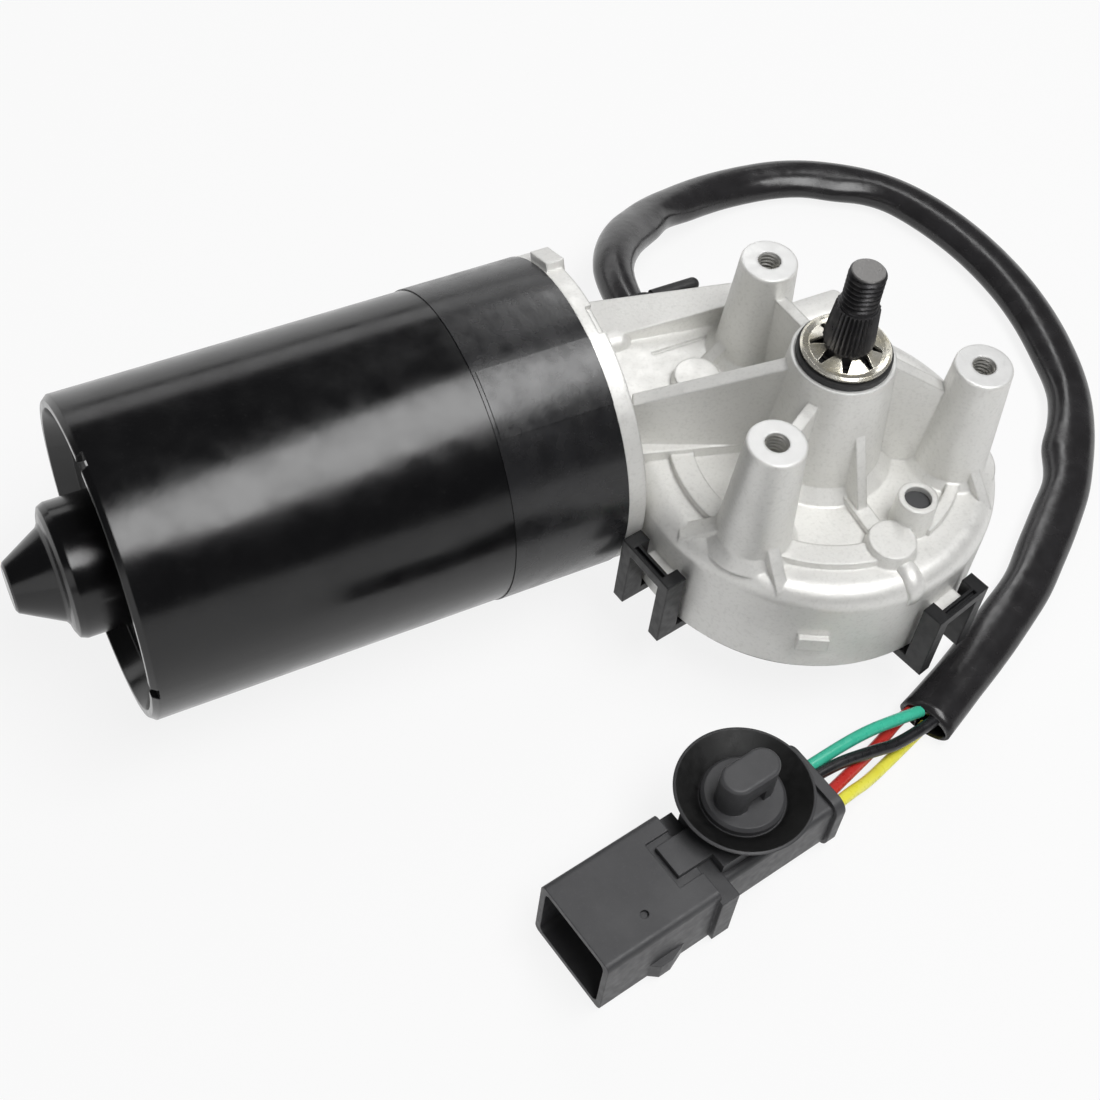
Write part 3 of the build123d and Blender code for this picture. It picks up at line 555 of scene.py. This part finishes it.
# Thread ridges in the tapped posts
def post_threads():
    around, step = 48, 0.125
    start, depth = 0.35, 14.0
    bore_r, pitch, ridge = 2.58, 1.0, 0.42
    for number, (r, angle) in enumerate(POSTS, 1):
        x = r * math.cos(math.radians(angle))
        y = r * math.sin(math.radians(angle))
        verts = []
        rows = int(depth / step)
        for i in range(rows + 1):
            z = POST_TOP - start - depth * i / rows
            for j in range(around):
                t = 2 * math.pi * j / around
                wave = abs((z / pitch - t / (2 * math.pi)) % 1.0 - 0.5) * 2
                inner_r = bore_r - ridge * wave
                verts.append((x + inner_r * math.cos(t), y + inner_r * math.sin(t), z))
        mesh_piece(f"post_thread_{number}", verts, grid_faces(rows + 1, around), "bare_steel", "housing")


post_threads()


# Rounded rib from the pad over the shoulder of the housing
def shoulder_rib():
    around, turns = 20, 16
    half, rise, fade_rows = 2.3, 1.5, 9
    run_on, narrow = 1.5, 0.7
    inner_r = HOUSE_R - SHOULDER_R
    line = [(inner_r - 2 * run_on, HOUSE_TOP, 0.0), (inner_r - run_on, HOUSE_TOP, 0.0)]
    for i in range(turns + 1):
        lean = math.pi / 2 * i / turns
        drop = SHOULDER_R * (1 - math.cos(lean))
        line.append((inner_r + SHOULDER_R * math.sin(lean), HOUSE_TOP - drop, lean))
    line.append((HOUSE_R, HOUSE_TOP - SHOULDER_R - run_on, math.pi / 2))
    turn = Matrix.Rotation(math.radians(RIB_ANGLE), 3, "Z")
    verts = []
    for row, (r, z, lean) in enumerate(line):
        fade = min(1.0, (len(line) - row) / fade_rows)
        for j in range(around):
            t = 2 * math.pi * j / around
            lift = rise * math.sqrt(fade) * math.sin(t)
            across = half * (narrow + (1 - narrow) * fade) * math.cos(t)
            spot = (r + lift * math.sin(lean), across, z + lift * math.cos(lean))
            verts.append(turn @ Vector(spot))
    faces = closed_faces(len(line), around)
    mesh_piece("shoulder_rib", verts, faces, "cast_aluminium", "housing")


shoulder_rib()


# Grey face of the vent plug
def vent_face():
    around, face_r = 32, 2.9
    crown, edge = 0.06, 0.03
    verts = [(*VENT, PLUG_TOP + crown)]
    for j in range(around):
        t = 2 * math.pi * j / around
        verts.append((VENT[0] + face_r * math.cos(t), VENT[1] + face_r * math.sin(t), PLUG_TOP + edge))
    faces = [(0, 1 + j, 1 + (j + 1) % around) for j in range(around)]
    mesh_piece("vent_face", verts, faces, "connector_plastic", "housing")


vent_face()


# Floor and light
def background_rays(tree):
    """1 for rays that see the pale background: from the camera, mirrored or passing through."""
    rays = tree.nodes.new("ShaderNodeLightPath").outputs
    seen = rays["Is Camera Ray"]
    for name in ("Is Glossy Ray", "Is Transmission Ray"):
        either = tree.nodes.new("ShaderNodeMath")
        either.operation = "MAXIMUM"
        tree.links.new(seen, either.inputs[0])
        tree.links.new(rays[name], either.inputs[1])
        seen = either.outputs["Value"]
    return seen


def pale_floor():
    """Floor that shows pale to the camera and in mirrors, and keeps the object's shadow."""
    glow_share, far = 0.86, 12
    mat = bpy.data.materials.new("floor")
    mat.use_nodes = True
    tree = mat.node_tree
    tree.nodes.clear()
    out = tree.nodes.new("ShaderNodeOutputMaterial")
    mix = tree.nodes.new("ShaderNodeMixShader")
    matte = tree.nodes.new("ShaderNodeBsdfDiffuse")
    matte.inputs["Color"].default_value = (0.8, 0.8, 0.8, 1)
    glow = tree.nodes.new("ShaderNodeEmission")
    share = tree.nodes.new("ShaderNodeMath")
    share.operation = "MULTIPLY"
    share.inputs[1].default_value = glow_share
    tree.links.new(background_rays(tree), share.inputs[0])
    tree.links.new(share.outputs[0], mix.inputs[0])
    tree.links.new(matte.outputs[0], mix.inputs[1])
    tree.links.new(glow.outputs[0], mix.inputs[2])
    tree.links.new(mix.outputs[0], out.inputs["Surface"])
    z = FLOOR * MM
    mesh = bpy.data.meshes.new("floor")
    mesh.from_pydata([(-far, -far, z), (far, -far, z), (far, far, z), (-far, far, z)], [], [(0, 1, 2, 3)])
    mesh.materials.append(mat)
    floor = link(bpy.data.objects.new("floor", mesh))


def dim_world():
    """Dim fill light, with the pale background low above the horizon."""
    pale_below, dim_above = 0.06, 0.16
    world = bpy.data.worlds.new("world")
    world.use_nodes = True
    tree = world.node_tree
    fill = tree.nodes["Background"]
    fill.inputs["Color"].default_value = (0.07, 0.07, 0.072, 1)
    pale = tree.nodes.new("ShaderNodeBackground")
    pale.inputs["Color"].default_value = (0.93, 0.93, 0.93, 1)
    choose = tree.nodes.new("ShaderNodeMixShader")
    split = tree.nodes.new("ShaderNodeSeparateXYZ")
    tree.links.new(tree.nodes.new("ShaderNodeTexCoord").outputs["Generated"], split.inputs["Vector"])
    low = tree.nodes.new("ShaderNodeMapRange")
    ends = {"From Min": pale_below, "From Max": dim_above, "To Min": 1.0, "To Max": 0.0}
    for key, number in ends.items():
        low.inputs[key].default_value = number
    tree.links.new(split.outputs["Z"], low.inputs["Value"])
    share = tree.nodes.new("ShaderNodeMath")
    share.operation = "MULTIPLY"
    tree.links.new(background_rays(tree), share.inputs[0])
    tree.links.new(low.outputs["Result"], share.inputs[1])
    tree.links.new(share.outputs["Value"], choose.inputs[0])
    tree.links.new(fill.outputs[0], choose.inputs[1])
    tree.links.new(pale.outputs[0], choose.inputs[2])
    tree.links.new(choose.outputs[0], tree.nodes["World Output"].inputs["Surface"])
    scene.world = world


def lamp(name, place, run, length, width, power):
    """Long soft box that looks at the middle of the object, its length along a direction."""
    data = bpy.data.lights.new(name, "AREA")
    data.shape = "RECTANGLE"
    data.size = length
    data.size_y = width
    data.energy = power
    box = link(bpy.data.objects.new(name, data))
    place = Vector(place)
    back = (place - Vector(MIDDLE) * MM).normalized()
    up = back.cross(Vector(run)).normalized()
    turn = Matrix((up.cross(back), up, back)).transposed().to_4x4()
    box.matrix_world = Matrix.Translation(place) @ turn


pale_floor()
dim_world()
scene.view_settings.view_transform = "Standard"
lamp("key", (0.148, -0.28, 0.897), (0.339, 0.427, 0.066), 0.86, 0.42, 9.0)
lamp("side", (-1.02, -0.56, 0.36), (0.5, -0.9, 0.0), 0.6, 0.6, 1.2)
lamp("back", (0.0, 0.95, 0.3), (1.0, 0.0, 0.0), 1.2, 0.25, 1.2)
lamp("streak", (0.32, 0.55, 0.57), (0.2, 1.0, 0.0), 0.5, 0.12, 1.0)
